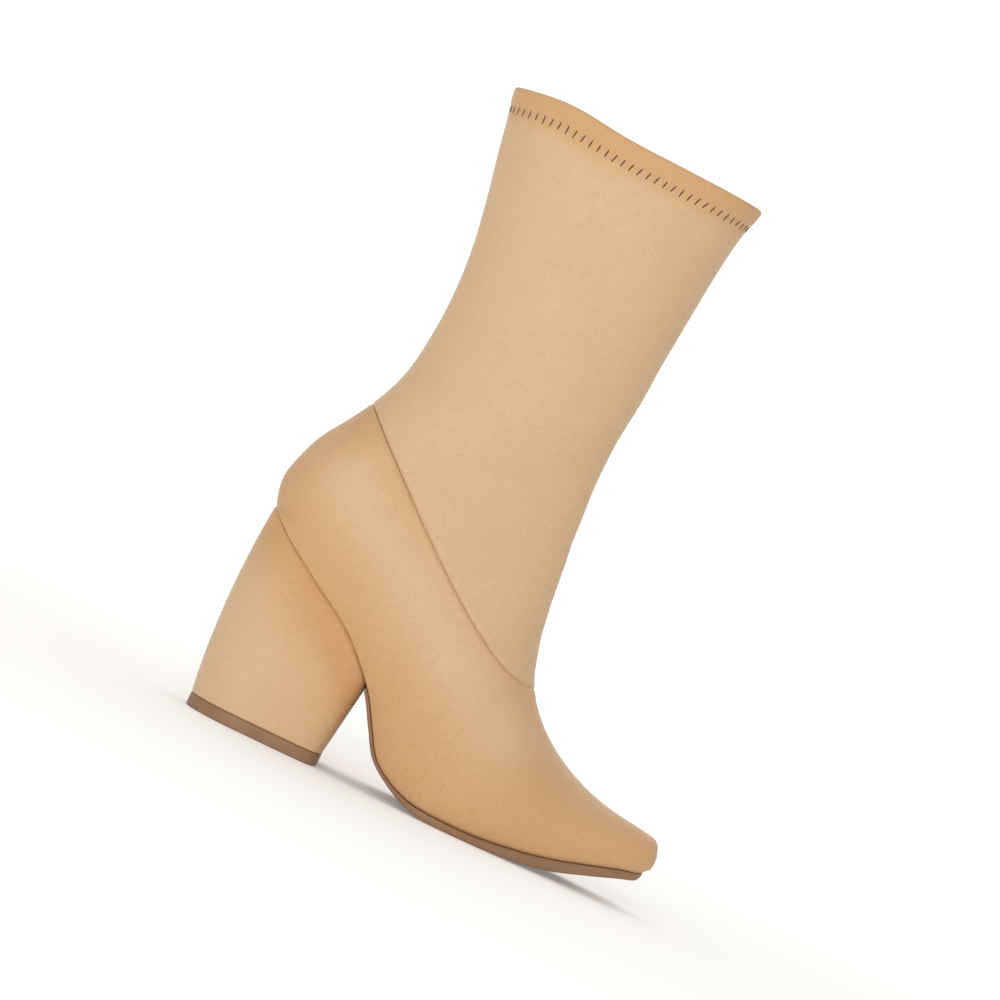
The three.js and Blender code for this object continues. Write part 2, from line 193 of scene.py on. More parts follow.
FOOT_COLUMNS = "along rise spring tilt depth ball swing outer inner feather belly low high sole edge"
FOOT_ROWS = [
    (0.997, 0, 1.2, 90, 0.066, 1, 0.045, 0.085, 0.085, 0.7, 0.46, 2.4, 2.4, 0.85, 1.15),
    (0.979, 0, 1.0, 87.4, 0.117, 1, 0.045, 0.16, 0.16, 0.84, 0.44, 2.6, 2.5, 0.95, 1.06),
    (0.94, 0, 0.87, 85.8, 0.1435, 1, 0.042, 0.225, 0.225, 0.87, 0.42, 2.7, 2.4, 1.1, 1.04),
    (0.871, 0, 0.58, 83.7, 0.191, 1, 0.034, 0.295, 0.295, 0.88, 0.4, 2.8, 2.2, 1.28, 1.03),
    (0.8, 0, 0.3, 81.5, 0.249, 1, 0.024, 0.36, 0.362, 0.885, 0.37, 2.9, 2.05, 1.4, 1.03),
    (0.729, 0, 0.12, 77.6, 0.31, 1, 0.014, 0.422, 0.43, 0.89, 0.34, 3, 1.95, 1.22, 1.03),
    (0.65, 0, 0, 71, 0.379, 1, 0.006, 0.474, 0.484, 0.9, 0.32, 3, 1.9, 1.04, 1.03),
    (0.574, 0, 0, 65.1, 0.4475, 1, 0, 0.5, 0.492, 0.9, 0.3, 2.9, 1.88, 1.02, 1.02),
    (0.508, 0.012, 0, 60.6, 0.5115, 1, -0.004, 0.494, 0.46, 0.87, 0.3, 2.7, 1.86, 0.82, 1),
    (0.452, 0.058, 0, 56.1, 0.555, 0.8, -0.006, 0.491, 0.443, 0.82, 0.31, 2.5, 1.86, 0.55, 0.97),
    (0.408, 0.13, 0, 52, 0.583, 0.6, -0.006, 0.487, 0.438, 0.78, 0.33, 2.4, 1.88, 0.5, 0.94),
    (0.374, 0.254, 0, 48.2, 0.592, 0.4, -0.004, 0.486, 0.446, 0.77, 0.35, 2.35, 1.9, 0.5, 0.92),
    (0.331, 0.41, 0, 41.7, 0.602, 0.2, 0, 0.491, 0.47, 0.79, 0.36, 2.3, 1.92, 0.5, 0.92),
    (0.245, 0.608, 0, 31.2, 0.678, 0, 0, 0.51, 0.502, 0.86, 0.34, 2.4, 1.95, 0.5, 0.92),
    (0.15, 0.752, 0, 25, 0.8035, 0, 0, 0.5, 0.5, 0.9, 0.3, 2.5, 1.98, 0.5, 0.92),
    (0.073, 0.866, 0, 21.2, 0.911, 0, 0, 0.5, 0.5, 0.79, 0.29, 2.4, 2, 0.5, 0.92),
    (0.027, 0.952, 0, 19.4, 0.975, 0, 0, 0.5, 0.5, 0.48, 0.3, 2.3, 2, 0.5, 0.92),
    (0.0106, 1, 0, 18.7, 0.9965, 0, 0, 0.5, 0.5, 0, 0.32, 2.3, 2, 0.5, 0.92),
]
SHAFT_COLUMNS = "along up tilt ankle collar belly low high"
SHAFT_ROWS = [
    (0, 0.056, 16.7, 0.0015, 0, 0.35, 2.2, 2),
    (0.012, 0.112, 15.1, 0.118, 0, 0.38, 2.15, 2),
    (0.034, 0.168, 13.9, 0.2875, 0, 0.41, 2.1, 2),
    (0.072, 0.229, 12.6, 0.551, 0, 0.44, 2.1, 2.05),
    (0.105, 0.29, 10.8, 0.773, 0, 0.46, 2.1, 2.1),
    (0.133, 0.37, 8.2, 0.949, 0, 0.48, 2.1, 2.1),
    (0.147, 0.48, 4.9, 1, 0, 0.5, 2.1, 2.1),
    (0.149, 0.575, 2.8, 1, 0.012, 0.5, 2.1, 2.1),
    (0.1425, 0.665, 1.1, 1, 0.12, 0.5, 2.1, 2.1),
    (0.1274, 0.762, 0.1, 1, 0.317, 0.5, 2.1, 2.1),
    (0.1075, 0.864, -0.5, 1, 0.575, 0.5, 2.1, 2.1),
    (0.095, 0.935, -0.9, 1, 0.775, 0.5, 2.1, 2.1),
    (0.084, 1, -1.2, 1, 1, 0.5, 2.1, 2.1),
]
# The seam between foot and shaft seen from the side: handles from the instep to the ankle's back.
SEAM_HANDLES = [(105, 73.4), (81.6, 73.4), (39.6, 109.9), (-12.2, 155.6)]


def mix(a, b, share):
    return a + (b - a) * share


def last_rows():
    """The rows of both tables in millimetres, as one array for each size."""
    rows = []
    for values in FOOT_ROWS:
        row = dict(zip(FOOT_COLUMNS.split(), values))
        width = mix(COUNTER_WIDTH, BALL_WIDTH, row["ball"])
        row["x"] = COUNTER_BACK + row["along"] * BOOT_LENGTH
        row["z"] = mix(SOLE_THICKNESS, SEAT_HEIGHT, row["rise"]) + row["spring"] * TOE_SPRING
        row["depth"] *= INSTEP_DEPTH
        row["sole"] *= SOLE_THICKNESS
        for name in ("swing", "outer", "inner"):
            row[name] *= width
        rows.append(row)
    for values in SHAFT_ROWS:
        row = dict(zip(SHAFT_COLUMNS.split(), values))
        width = mix(mix(COUNTER_WIDTH, ANKLE_WIDTH, row["ankle"]), COLLAR_WIDTH, row["collar"])
        row["x"] = COUNTER_BACK + row["along"] * BOOT_LENGTH
        row["z"] = SEAT_HEIGHT + row["up"] * SHAFT_HEIGHT
        row["depth"] = mix(mix(INSTEP_DEPTH, ANKLE_DEPTH, row["ankle"]), COLLAR_DEPTH, row["collar"])
        row.update(swing=0, outer=width / 2, inner=width / 2, feather=0, sole=0, edge=0)
        rows.append(row)
    names = "x z tilt depth swing outer inner feather belly low high sole edge".split()
    return {name: np.array([float(row[name]) for row in rows]) for name in names}


LAST = last_rows()
HEEL_CORNER = len(FOOT_ROWS) - 1
COLLAR = len(FOOT_ROWS) + len(SHAFT_ROWS) - 1


def section(u, name):
    """One size of the last at a place u along its rows, on a smooth curve through them."""
    values = LAST[name]
    u = np.clip(np.asarray(u, float), 0, len(values) - 1)
    i = np.minimum(u.astype(int), len(values) - 2)
    t = u - i
    before, here = values[np.maximum(i - 1, 0)], values[i]
    after, later = values[i + 1], values[np.minimum(i + 2, len(values) - 1)]
    v0, v1 = (after - before) / 2, (later - here) / 2
    cubic = 2 * here - 2 * after + v0 + v1
    square = 3 * after - 3 * here - 2 * v0 - v1
    return cubic * t**3 + square * t**2 + v0 * t + here


def on_last(u, v, inset=0.0):
    """A point of the last: u along its rows, v from the outer lower edge round to the inner one."""
    u, v, inset = np.broadcast_arrays(*(np.asarray(k, float) for k in (u, v, inset)))
    low, high = section(u, "low"), section(u, "high")
    feather = np.maximum(section(u, "feather"), 0)
    depth = section(u, "depth")
    belly = section(u, "belly") * depth
    start = -np.arccos(feather ** (low / 2))
    turn = mix(start, math.pi - start, v)
    reach = (1 - feather**low) ** (1 / low)
    end = np.where(np.sin(turn) < 0, belly - belly / reach + inset, depth - inset)
    power = 2 / np.where(np.sin(turn) < 0, low, high)
    half = np.where(v <= 0.5, section(u, "outer") - inset, inset - section(u, "inner"))
    along = belly + (end - belly) * np.abs(np.sin(turn)) ** power
    tilt = np.radians(section(u, "tilt"))
    x = section(u, "x") + along * np.cos(tilt)
    y = section(u, "swing") - half * np.abs(np.cos(turn)) ** power
    z = section(u, "z") + along * np.sin(tilt)
    return np.stack([x, y, z], -1)


def seam_line():
    """The seam seen from the side, as x and height with x rising, run on straight past both ends."""
    t = np.linspace(0, 1, 60)[:, None]
    p = np.array(SEAM_HANDLES, float)
    line = (1 - t) ** 3 * p[0] + 3 * (1 - t) ** 2 * t * p[1] + 3 * (1 - t) * t**2 * p[2] + t**3 * p[3]
    ahead = line[0] + (line[0] - line[1]) * 40
    behind = line[-1] + (line[-1] - line[-2]) * 20
    return np.vstack([ahead, line, behind])[::-1]


SEAM = seam_line()


def over_seam(u, v):
    """How far a point of the last is above the seam line, seen from the side."""
    points = on_last(u, v)
    return points[..., 2] - np.interp(points[..., 0], SEAM[:, 0], SEAM[:, 1])


def halved(low, high, over):
    """Where a rising value passes nought between two places, by halving."""
    low, high = np.array(low, float), np.array(high, float)
    for _ in range(45):
        middle = (low + high) / 2
        above = over(middle) > 0
        low, high = np.where(above, low, middle), np.where(above, middle, high)
    return (low + high) / 2


def spread(u, v, shares):
    """The places that part a path over the last by shares of its length."""
    points = on_last(u, v)
    length = np.concatenate([[0], np.cumsum(np.linalg.norm(np.diff(points, axis=0), axis=1))])
    want = np.asarray(shares) * length[-1]
    return np.interp(want, length, u), np.interp(want, length, v)


def seen_at(x, z):
    """The place (u, v) of the outer half that shows at x and z in the side view."""
    first, last = np.zeros(x.shape), np.full(x.shape, float(COLLAR))
    for _ in range(45):
        u = (first + last) / 2
        tilt = np.radians(section(u, "tilt"))
        over = np.cos(tilt) * (z - section(u, "z")) - np.sin(tilt) * (x - section(u, "x")) > 0
        first, last = np.where(over, u, first), np.where(over, last, u)
    tilt = np.radians(section(u, "tilt"))
    along = np.cos(tilt) * (x - section(u, "x")) + np.sin(tilt) * (z - section(u, "z"))
    low, high = section(u, "low"), section(u, "high")
    feather = np.maximum(section(u, "feather"), 0)
    depth = section(u, "depth")
    belly = section(u, "belly") * depth
    upper = along > belly
    span = np.where(upper, depth - belly, belly / (1 - feather**low) ** (1 / low))
    share = np.clip(np.abs(along - belly) / span, 0, 1)
    turn = np.arcsin(share ** (np.where(upper, high, low) / 2)) * np.where(upper, 1, -1)
    start = -np.arccos(feather ** (low / 2))
    return u, np.clip((turn - start) / (math.pi - 2 * start), 0, 0.5)


def columns(top, bottom, back, front, marks, steps, last_marks=()):
    """Places down every column: fixed distances from its start, even steps, fixed ones from its end.

    Each border is a pair of u and v of the outer half. In the side view a column is drawn between
    the four borders. The inner half mirrors the outer one.
    """
    down = np.linspace(0, 1, len(back[0]))[:, None, None]
    round_half = ((1 - np.cos(math.pi * HALF)) / 2)[None, :, None]
    a, b, left, right = (on_last(*border)[..., [0, 2]] for border in (top, bottom, back, front))
    spot = mix(a, b, down) + (1 - round_half) * (left[:, None] - mix(a[0], b[0], down))
    spot += round_half * (right[:, None] - mix(a[-1], b[-1], down))
    u, v = seen_at(spot[..., 0], spot[..., 1])
    for place, side in ((u, 0), (v, 1)):
        place[:, 0], place[:, -1], place[0], place[-1] = back[side], front[side], top[side], bottom[side]
    way = np.linalg.norm(np.diff(on_last(u, v), axis=0), axis=2)
    length = np.concatenate([np.zeros((1, way.shape[1])), np.cumsum(way, axis=0)])
    rows = []
    for j in range(length.shape[1]):
        ends = length[-1, j] - np.array((*last_marks, 0.0))
        want = np.concatenate([marks, np.linspace(marks[-1], ends[0], steps + 1)[1:], ends[1:]])
        rows.append([np.interp(want, length[:, j], place[:, j]) for place in (u, v)])
    u, v = np.array(rows).transpose(1, 2, 0)
    return np.concatenate([u, u[:, -2::-1]], 1), np.concatenate([v, 1 - v[:, -2::-1]], 1)


def sheet_mesh(name, points, wraps=False):
    """A grid primitive with its vertices placed on rows of points. With wraps, each row is a ring."""
    if wraps:
        points = np.concatenate([points, points[:, :1]], 1)
    rows, places = points.shape[:2]
    bpy.ops.object.select_all(action="DESELECT")
    bpy.ops.mesh.primitive_grid_add(x_subdivisions=places - 1, y_subdivisions=rows - 1, size=1)
    piece = bpy.context.object
    piece.name = name
    piece.data.name = name
    piece.data.vertices.foreach_set("co", (points.reshape(-1, 3) * MM).ravel())
    piece.data.update()
    return piece


def shade_shares(piece, name, values):
    """Keeps one share for each vertex, which the piece's material reads."""
    kept = piece.data.attributes.new(name, "FLOAT", "POINT")
    kept.data.foreach_set("value", np.asarray(values, float).ravel())


def close_up(piece, angle=40):
    """Merges doubled points, turns all faces outwards and shades the piece smooth up to an angle."""
    bpy.ops.object.select_all(action="DESELECT")
    piece.select_set(True)
    bpy.context.view_layer.objects.active = piece
    bpy.ops.object.mode_set(mode="EDIT")
    bpy.ops.mesh.select_all(action="SELECT")
    bpy.ops.mesh.remove_doubles(threshold=0.00002)
    bpy.ops.mesh.dissolve_degenerate(threshold=0.000005)
    bpy.ops.mesh.normals_make_consistent(inside=False)
    bpy.ops.object.mode_set(mode="OBJECT")
    bpy.ops.object.shade_smooth_by_angle(angle=math.radians(angle))


def outward(points):
    """Unit normals of rows of points that go once round the boot, away from its inside."""
    wrapped = np.concatenate([points[:, -2:-1], points, points[:, 1:2]], 1)
    normal = np.cross(np.gradient(points, axis=0), np.gradient(wrapped, axis=1)[:, 1:-1])
    if np.sum(normal[..., 1] * points[..., 1]) < 0:
        normal = -normal
    return normal / np.maximum(np.linalg.norm(normal, axis=-1, keepdims=True), 1e-9)


def bell(distance, width):
    return np.exp(-((distance / width) ** 2))


def from_line(points, start, end):
    """Distance in the side view from a line, and the share along it."""
    a, b = np.array(start, float), np.array(end, float)
    flat = points[..., [0, 2]] - a
    share = flat @ (b - a) / ((b - a) @ (b - a))
    beside = np.linalg.norm(flat - np.clip(share, 0, 1)[..., None] * (b - a), axis=-1)
    return beside, share


# Soft creases that the bend of the ankle and of the toes leaves: the line that each follows in the
# side view, its half width and its height, which is below zero for a trough. They fade out towards
# both ends of their line.
CREASE_FADE = 0.3
CREASES = [
    ((99, 141), (44, 118), 4.5, -0.95),
    ((98, 152), (42, 134), 5.0, 0.7),
    ((96, 164), (38, 152), 5.0, -1.05),
    ((94, 176), (40, 170), 5.5, 0.65),
    ((93, 189), (38, 188), 6.0, -0.7),
    ((93, 203), (46, 206), 8.0, 0.35),
    ((-12, 186), (40, 180), 6.0, -0.4),
    ((-16, 160), (34, 136), 5.5, -0.35),
    ((128, 54), (98, 22), 4.5, -0.4),
    ((118, 62), (88, 30), 5.0, -0.35),
]


def creased(points):
    """Points moved out and in along the soft creases."""
    height = np.zeros(points.shape[:2])
    for start, end, width, rise in CREASES:
        beside, share = from_line(points, start, end)
        height += rise * bell(beside, width) * bell(share - 0.5, CREASE_FADE)
    return height


# Columns run from the seam down to the lower edge and up to the collar. They go round from the
# back over the outer side to the front and back over the inner side, closer beside the back seam
# and at the toe's end.
HALF_BACK, HALF_FRONT = [0, 0.003, 0.007, 0.013, 0.021], np.linspace(0.934, 1, 24)
HALF = np.array([*HALF_BACK, *np.linspace(0.031, 0.93, 86), *HALF_FRONT])  # shares of half the way
SEAM_STEPS = [0.1, 0.4, 0.8, 1.3, 2, 3, 4.5]  # distances from the seam of the rows beside it
EVEN = np.linspace(0, 1, 121)

# The last's rows between which the seam crosses its back and its front line.
SEAM_BACK_ROWS, SEAM_FRONT_ROWS = (HEEL_CORNER, 26), (4, 15)

seam_back = halved(*SEAM_BACK_ROWS, lambda u: over_seam(u, 0))
seam_front = halved(*SEAM_FRONT_ROWS, lambda u: over_seam(u, 0.5))
between_u = mix(seam_back, seam_front, (1 - np.cos(np.linspace(0, math.pi, 300)[1:-1])) / 2)
outer_edge, instep = np.zeros_like(between_u), np.full_like(between_u, 0.5)
between_v = halved(outer_edge, instep, lambda v: over_seam(between_u, v))
seam_u = np.concatenate([[seam_back], between_u, [seam_front]])
seam_v = np.concatenate([[0], between_v, [0.5]])
seam_half = spread(seam_u, seam_v, HALF)
seam_points = on_last(np.tile(seam_u, 2), np.concatenate([seam_v, 1 - seam_v]))


def line_at(v, start, end):
    """Places along the back or front line of the last, evenly apart."""
    return spread(np.linspace(start, end, 400), np.full(400, float(v)), EVEN)


# The seam's groove as depth and half width, and the leather that stands up beside it as height, half
# width and distance. SEAM_SIDE is how far out from the middle line both reach their full size, and
# SEAM_FLAT their share on it. Then the sewn line up the back as depth and half width.
SEAM_GROOVE, SEAM_GROOVE_WIDTH = 0.8, 0.8
SEAM_PUFF, SEAM_PUFF_WIDTH, SEAM_PUFF_AWAY = 0.28, 1.5, 2.4
SEAM_SIDE, SEAM_FLAT = 16, 0.4
BACK_SEAM, BACK_SEAM_WIDTH = 0.35, 0.8
EDGE_PULL = [[0.15], [0.5]]  # how far the last two rows draw in where the leather is pulled under
FOOT_STEPS = 90


def turned_seam(points):
    """Height beside the seam: the turned edges roll down into it and stand up a little next to it.

    It is pulled flatter over the instep and up the back.
    """
    away = [np.min(np.linalg.norm(row[:, None] - seam_points[None], axis=2), axis=1) for row in points]
    away = np.array(away)
    profile = SEAM_PUFF * bell(away - SEAM_PUFF_AWAY, SEAM_PUFF_WIDTH)
    profile -= SEAM_GROOVE * bell(away, SEAM_GROOVE_WIDTH)
    return profile * np.clip(np.abs(points[..., 1]) / SEAM_SIDE, SEAM_FLAT, 1)


lower_u = np.concatenate([np.linspace(HEEL_CORNER, 0, 500), np.zeros(60)])
lower_v = np.concatenate([np.zeros(500), np.linspace(0, 0.5, 61)[1:]])
lower_half = spread(lower_u, lower_v, HALF)
foot_back, foot_front = line_at(0, seam_back, HEEL_CORNER), line_at(0.5, seam_front, 0)
foot_u, foot_v = columns(seam_half, lower_half, foot_back, foot_front, SEAM_STEPS, FOOT_STEPS)
foot_points = on_last(foot_u, foot_v)
height = creased(foot_points) + turned_seam(foot_points)
height -= BACK_SEAM * bell(foot_points[..., 1], BACK_SEAM_WIDTH) * (foot_points[..., 0] < 0)
height[-2:] -= np.array(EDGE_PULL)
foot_points = foot_points + outward(foot_points) * height[..., None]

# The toe's end is closed: the first section draws down to its lower edge, a little domed.
TOE_DOME = 0.9
toe_ring = foot_points[-1]
on_toe = (foot_u[-1] < 1e-6)[:, None]
toe_edge = mix(on_last(0, 0), on_last(0, 1), foot_v[-1][:, None])
toe_rows = []
for share in (0.12, 0.3, 0.5, 0.7, 0.88, 1):
    row = mix(toe_ring, toe_edge, share)
    row[:, 0] += TOE_DOME * math.sin(math.pi * share) ** 0.8 * np.sin(math.pi * foot_v[-1])
    toe_rows.append(np.where(on_toe, row, toe_ring))
foot_points = np.concatenate([foot_points, toe_rows])

# The lasting margin turns in under the foot, towards its middle line.
MARGIN_STEPS = [0.6, 3, 6, 9]  # how far in its rows reach
SPINE_BACK, SPINE_FRONT = -18, 168  # ends of the middle line
edge_ring = foot_points[-1]
edge_u = np.linspace(0, HEEL_CORNER, 400)
edge_line = np.stack([section(edge_u, "x"), section(edge_u, "z")], -1)
spine_x = np.clip(edge_ring[:, 0], SPINE_BACK, SPINE_FRONT)
spine = np.stack([spine_x, np.interp(spine_x, edge_line[::-1, 0], section(edge_u, "swing")[::-1])], -1)
margin_rows = []
for reach in MARGIN_STEPS:
    way = spine - edge_ring[:, :2]
    room = np.linalg.norm(way, axis=1, keepdims=True)
    plan = edge_ring[:, :2] + way / room * np.minimum(reach, 0.85 * room)
    level = np.interp(plan[:, 0], edge_line[::-1, 0], edge_line[::-1, 1])
    margin_rows.append(np.column_stack([plan, level]))
foot_points = np.concatenate([foot_points, margin_rows])
foot = sheet_mesh("foot_upper", foot_points)


# A painted light band in the side view, from the counter to the ball, and its half widths
# there, and how much painted shade darkens the leather outside the band.
LIGHT_BAND = (-8, 122), (102, 50)
LIGHT_AT_COUNTER, LIGHT_AT_BALL = 18, 16
FOOT_SHADE = 0.71


def painted_shade(points):
    """Painted shade: how much darker the leather is painted, everywhere but on the painted light band."""
    beside, share = from_line(points, *LIGHT_BAND)
    width = mix(LIGHT_AT_COUNTER, LIGHT_AT_BALL, np.clip(share, 0, 1))
    return FOOT_SHADE * (1 - bell(beside, width))


# The foot keeps its painted shade and painted light band as a share for each vertex.
shade_shares(foot, "painted_shade", painted_shade(foot_points))
close_up(foot)
wall = foot.modifiers.new("wall", "SOLIDIFY")
wall.thickness = FOOT_WALL * MM
wall.offset = -1
wall.use_even_offset = False
wall.material_offset = 1
bpy.ops.object.modifier_apply(modifier="wall")

TAN = "#d2ae85"
# The darker tan in which the leather's painted shade is drawn.
TAN_IN_SHADE = "#c79663"

# Real: sheep nappa, drum dyed and lightly finished, bonded to a stretch backing. It shows soft
# pebbles with shallow valleys and a silky gloss that comes and goes as the skin does. Its tan is
# darkened by painted shade, which each piece keeps for its vertices. Real pebbles are 0.5 to 1 mm
# across, drawn at 1.25 mm so that they show.
stretch_leather, tree, surface = new_material("stretch nappa leather")
coordinates = add_node(tree, "ShaderNodeTexCoord").outputs["Object"]
# The painted shade that each piece keeps for its vertices.
shade_share = add_node(tree, "ShaderNodeAttribute", {"attribute_name": "painted_shade"}).outputs["Fac"]
cloudy = add_node(tree, "ShaderNodeTexNoise", Vector=coordinates, Scale=38, Detail=3).outputs["Fac"]
wander = add_node(tree, "ShaderNodeTexNoise", Vector=coordinates, Scale=300, Detail=1).outputs["Color"]
bent = add_node(
    tree,
    "ShaderNodeVectorMath",
    {"operation": "MULTIPLY_ADD"},
    i0=wander,
    i1=(0.001, 0.001, 0.001),
    i2=coordinates,
)
pebbles = add_node(
    tree,
    "ShaderNodeTexVoronoi",
    {"feature": "DISTANCE_TO_EDGE"},
    Vector=bent.outputs[0],
    Scale=800,
)
fine = add_node(tree, "ShaderNodeTexNoise", Vector=coordinates, Scale=2200, Detail=2).outputs["Fac"]
tone = add_node(
    tree, "ShaderNodeMapRange", Value=cloudy, From_Min=0.3, From_Max=0.7, To_Min=-0.06, To_Max=0.06
)
# Painted shade plus a random cloudy tone, which mixes the tan towards the darker one.
shade_and_tone = add_node(tree, "ShaderNodeMath", {"operation": "ADD"}, i0=shade_share, i1=tone.outputs[0])
colour = add_node(
    tree,
    "ShaderNodeMix",
    {"data_type": "RGBA"},
    i0=shade_and_tone.outputs[0],
    i6=linear(TAN),
    i7=linear(TAN_IN_SHADE),
)
grain = add_node(
    tree,
    "ShaderNodeMapRange",
    {"interpolation_type": "SMOOTHSTEP"},
    Value=pebbles.outputs[0],
    From_Min=0,
    From_Max=0.3,
)
relief = add_node(
    tree, "ShaderNodeMath", {"operation": "MULTIPLY_ADD"}, i0=fine, i1=0.3, i2=grain.outputs[0]
)
skin = add_node(tree, "ShaderNodeBump", Strength=0.35, Distance=0.0008, Height=cloudy)
bump = add_node(
    tree,
    "ShaderNodeBump",
    Strength=0.65,
    Distance=0.0002,
    Height=relief.outputs[0],
    Normal=skin.outputs[0],
)
gloss = add_node(
    tree, "ShaderNodeMapRange", Value=cloudy, From_Min=0.3, From_Max=0.7, To_Min=0.42, To_Max=0.52
)
leather = add_node(
    tree,
    "ShaderNodeBsdfPrincipled",
    Base_Color=colour.outputs[2],
    Roughness=gloss.outputs[0],
    Normal=bump.outputs[0],
    IOR=1.45,
    Specular_IOR_Level=0.45,
    Sheen_Weight=0.06,
    Sheen_Roughness=0.5,
)
tree.links.new(leather.outputs[0], surface)

# Real: a tricot knit of polyester, glued behind the leather. It is dull and a little fuzzy, with
# columns of loops about 1 mm apart, drawn at 1.2 mm.
knit_lining, tree, surface = new_material("knitted polyester lining")
coordinates = add_node(tree, "ShaderNodeTexCoord").outputs["Object"]
ribs, loops = (
    add_node(
        tree,
        "ShaderNodeTexWave",
        {"bands_direction": direction},
        Vector=coordinates,
        Scale=260,
        Distortion=0.4,
    ).outputs["Fac"]
    for direction in ("X", "Z")
)
knit = add_node(tree, "ShaderNodeMath", {"operation": "ADD"}, i0=ribs, i1=loops)
bump = add_node(tree, "ShaderNodeBump", Strength=0.4, Distance=0.0003, Height=knit.outputs[0])
cloth = add_node(
    tree,
    "ShaderNodeBsdfPrincipled",
    Base_Color=linear("#cfa67c"),
    Roughness=0.85,
    Normal=bump.outputs[0],
    Sheen_Weight=0.25,
)
tree.links.new(cloth.outputs[0], surface)

foot.data.materials.append(stretch_leather)
foot.data.materials.append(knit_lining)
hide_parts("upper")
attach(foot, "root")


# Shaft
# The stretch sleeve: the same leather on a stretch lining, closed by one seam down the back and
# sewn to the foot with the edges turned in. Its top is folded in by 10 mm and stitched.
HEM = 9.8
LIP = 1.3  # height of the round at the fold
COLLAR_BOW = 2.9  # how far the soft edge bows up, a little in front of the back
HEM_GROOVE, HEM_GROOVE_WIDTH = 0.4, 2.2  # depth and half width of the groove that the stitches pull
HEM_PUFF, HEM_PUFF_WIDTH = 0.3, 4.5  # height and half width of the folded band
SHAFT_STEPS = 104
SHAFT_DARKENING = 0.08  # how much darker its tan is all over
FOLD_SHADE, FOLD_SHADE_WIDTH = 0.6, 10  # painted shade at the fold
STITCH_SHADE, STITCH_SHADE_WIDTH = 0.35, 5  # and painted shade along the stitches' groove
collar_half = spread(np.full(400, float(COLLAR)), np.linspace(0, 0.5, 400), HALF)
shaft_back, shaft_front = line_at(0, seam_back, COLLAR), line_at(0.5, seam_front, COLLAR)
hem_marks = [HEM + 2.4, HEM + 1.5, HEM + 0.8, HEM, HEM - 0.8, HEM - 1.5, HEM - 2.4, 6.2, 5, 3.7, 2.4, 1.2]
shaft_u, shaft_v = columns(
    seam_half, collar_half, shaft_back, shaft_front, SEAM_STEPS, SHAFT_STEPS, hem_marks
)
shaft_out = on_last(shaft_u, shaft_v)
from_collar = np.cumsum(np.linalg.norm(np.diff(shaft_out, axis=0), axis=2)[::-1], axis=0)[::-1]
from_collar = np.concatenate([from_collar, np.zeros((1, from_collar.shape[1]))])
height = creased(shaft_out) + turned_seam(shaft_out)
height -= BACK_SEAM * bell(shaft_out[..., 1], BACK_SEAM_WIDTH) * (shaft_out[..., 0] < 20)
height -= HEM_GROOVE * bell(from_collar - HEM, HEM_GROOVE_WIDTH)
height += HEM_PUFF * bell(from_collar - HEM / 2, HEM_PUFF_WIDTH)
shaft_out = shaft_out + outward(shaft_out) * height[..., None]


def collar_rise(x, distance):
    """How much a point near the collar is lifted: the edge bows up, and its round takes up the lip."""
    return COLLAR_BOW * bell(x - 9, 22) * bell(distance, 34) - LIP * bell(distance, 12)


shaft_out[..., 2] += collar_rise(shaft_out[..., 0], from_collar)

lip_rows = []
for turn in np.radians([30, 60, 90, 120, 150, 180]):
    row = on_last(COLLAR, shaft_v[-1], SHAFT_WALL * (1 - math.cos(turn)))
    row[:, 2] += collar_rise(row[:, 0], 0) + LIP * math.sin(turn)
    lip_rows.append(row)

# Inside, the folded band comes first and then the lining, both from the fold downwards.
FOLD_ROWS = 8
u_down, v_down, distance = shaft_u[-2::-1], shaft_v[-2::-1], from_collar[-2::-1]
folded, below = slice(FOLD_ROWS), slice(FOLD_ROWS, None)
fold_rows = on_last(u_down[folded], v_down[folded], 2 * SHAFT_WALL)
fold_rows[..., 2] += collar_rise(fold_rows[..., 0], distance[folded])
lining_rows = on_last(u_down[below], v_down[below], SHAFT_WALL)
lining_rows[..., 2] += collar_rise(lining_rows[..., 0], distance[below])
shaft_points = np.concatenate([shaft_out, lip_rows, fold_rows, lining_rows, shaft_out[:1]])
shaft = sheet_mesh("stretch_shaft", shaft_points)
on_fold = np.zeros((len(lip_rows), from_collar.shape[1]))
band = np.concatenate([from_collar, on_fold, distance, from_collar[:1]])
# Painted shade at the fold and along the stitches' groove, over a slightly darker tan all over.
shade = SHAFT_DARKENING + FOLD_SHADE * bell(band, FOLD_SHADE_WIDTH)
shade += STITCH_SHADE * bell(band - HEM, STITCH_SHADE_WIDTH)
shade_shares(shaft, "painted_shade", np.clip(shade, 0, 1))
shaft.data.materials.append(stretch_leather)
shaft.data.materials.append(knit_lining)
first_lining_row = len(shaft_out) + len(lip_rows) + len(fold_rows)
for face in shaft.data.polygons:
    face.material_index = int(face.index // (shaft_points.shape[1] - 1) >= first_lining_row)
close_up(shaft, 50)
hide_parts("shaft")
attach(shaft, "root")

# The hem's stitches: short slanted stitches of thick thread, which let the edge stretch. Each
# lies in the groove that it pulls, and its ends go down into their holes.
STITCH_PITCH = 4.2
STITCH_LENGTH = 5.0
STITCH_LEAN = 2, 15  # least and most, in degrees
STITCH_STRETCH = 0.8, 1.12  # least and most share of its length
STITCH_BEND = 0.3  # how far its ends go down
STITCH_DEPTH = 0.12  # how far its middle lies under the leather's level
THREAD = 0.74


def round_collar(distance):
    """The line round the shaft at a distance below its fold, in 1201 steps."""
    every = range(shaft_u.shape[1])
    u = [np.interp(distance, from_collar[::-1, j], shaft_u[::-1, j]) for j in every]
    v = [np.interp(distance, from_collar[::-1, j], shaft_v[::-1, j]) for j in every]
    steps = np.linspace(0, len(every) - 1, 1201)
    line = on_last(np.interp(steps, every, u), np.interp(steps, every, v))
    line[:, 2] += collar_rise(line[:, 0], distance)
    return line


